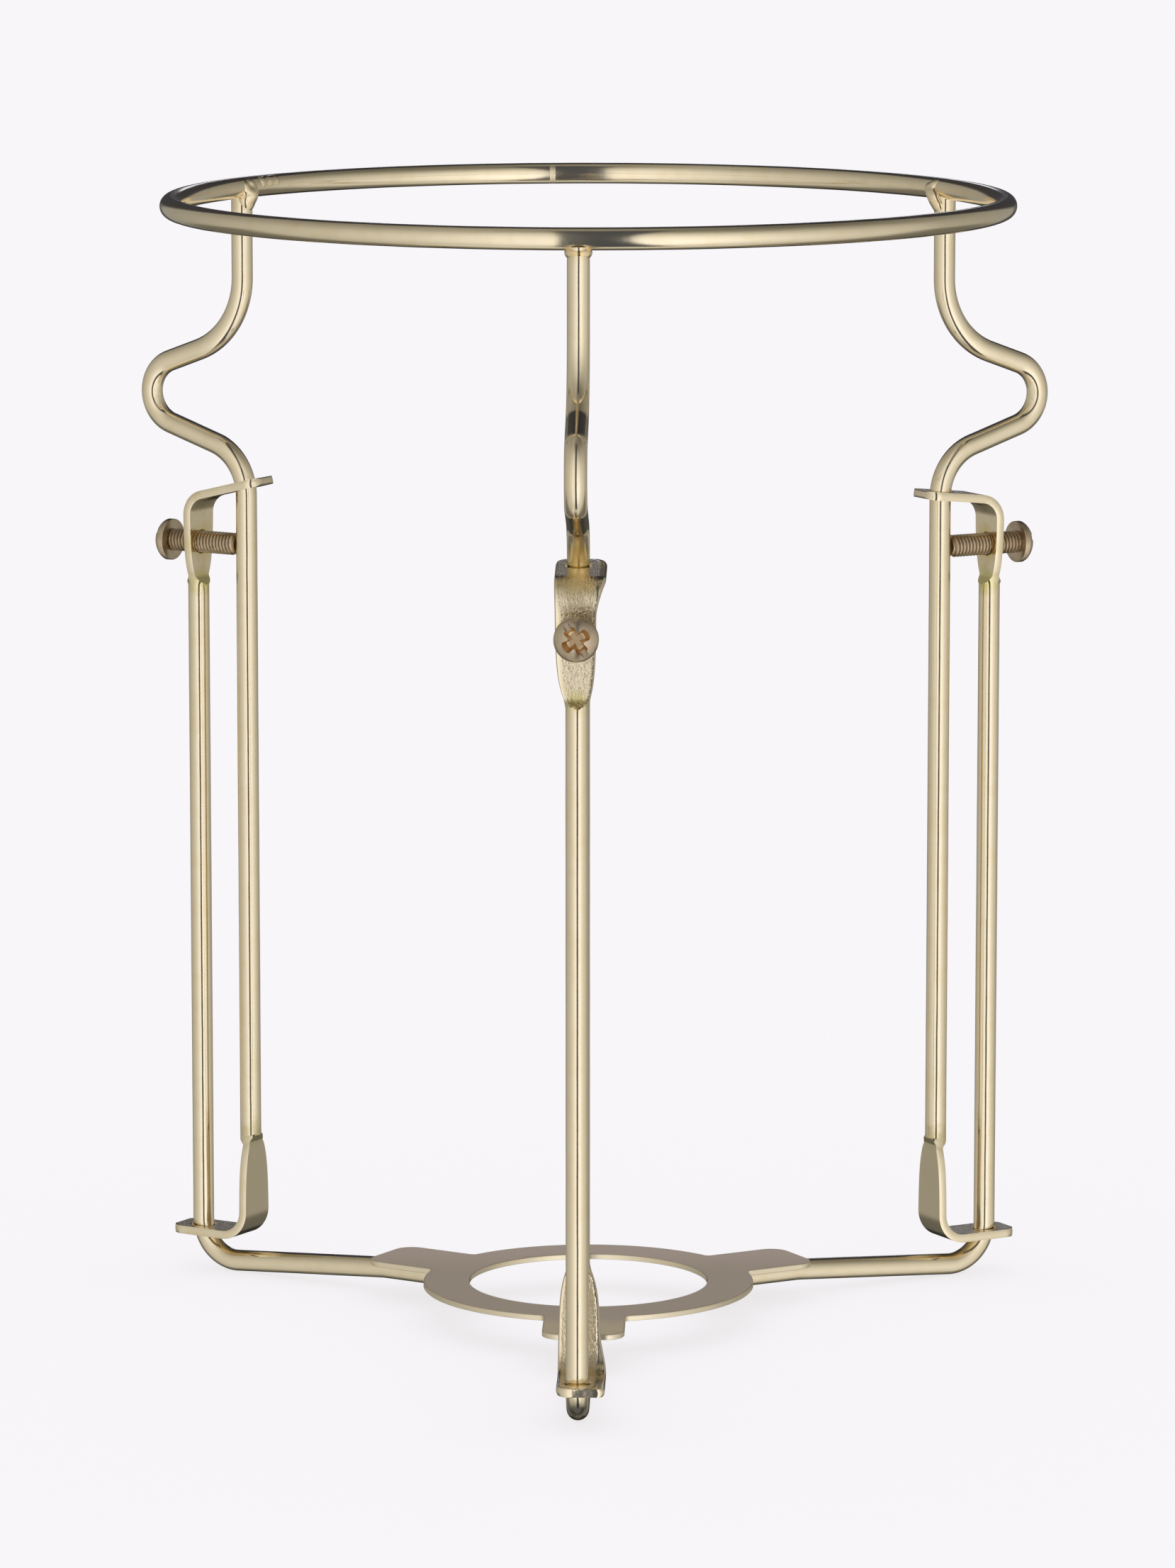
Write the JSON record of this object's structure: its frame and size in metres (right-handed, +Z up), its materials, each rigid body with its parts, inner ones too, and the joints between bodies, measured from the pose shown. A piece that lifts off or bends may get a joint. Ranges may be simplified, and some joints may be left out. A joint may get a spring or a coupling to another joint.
{
  "type": "lamp shade carrier",
  "caption": "Height-adjustable plated wire carrier for a lamp shade: ring on bumped legs that slide on posts, held by clamp screws, over a pierced lampholder plate.",
  "frame": {"origin": "on the axis of the ring and of the lampholder hole, level with the floor under the three bends", "axes": "+Z up along the axis of the ring, -Y towards the front post, so that the other two stand back left and back right"},
  "size_m": [0.1185, 0.1221, 0.1448],
  "materials": {
    "plated_wire": "satin",
    "plated_plate": "satin",
    "screw": "satin"
  },
  "bodies": {
    "lower_frame": {"lampholder_plate": "plated_plate", "lower_post_front": "plated_wire", "lower_post_left": "plated_wire", "lower_post_right": "plated_wire"},
    "upper_frame": {"top_ring": "plated_wire", "upper_leg_front": "plated_wire", "upper_leg_left": "plated_wire", "upper_leg_right": "plated_wire"},
    "screw_front": {"clamp_screw_front": "screw"},
    "screw_left": {"clamp_screw_left": "screw"},
    "screw_right": {"clamp_screw_right": "screw"}
  },
  "joints": [
    {"name": "height_slide", "type": "slide", "parent": "lower_frame", "child": "upper_frame", "axis": [0, 0, 1], "range_m": [0, 0.075]},
    {"name": "screw_front_travel", "type": "slide", "parent": "lower_frame", "child": "screw_front", "axis": [0, -1, 0], "range_m": [0, 0.005]},
    {"name": "screw_left_travel", "type": "slide", "parent": "lower_frame", "child": "screw_left", "axis": [-0.866, 0.5, 0], "range_m": [0, 0.005]},
    {"name": "screw_right_travel", "type": "slide", "parent": "lower_frame", "child": "screw_right", "axis": [0.866, 0.5, 0], "range_m": [0, 0.005]}
  ]
}
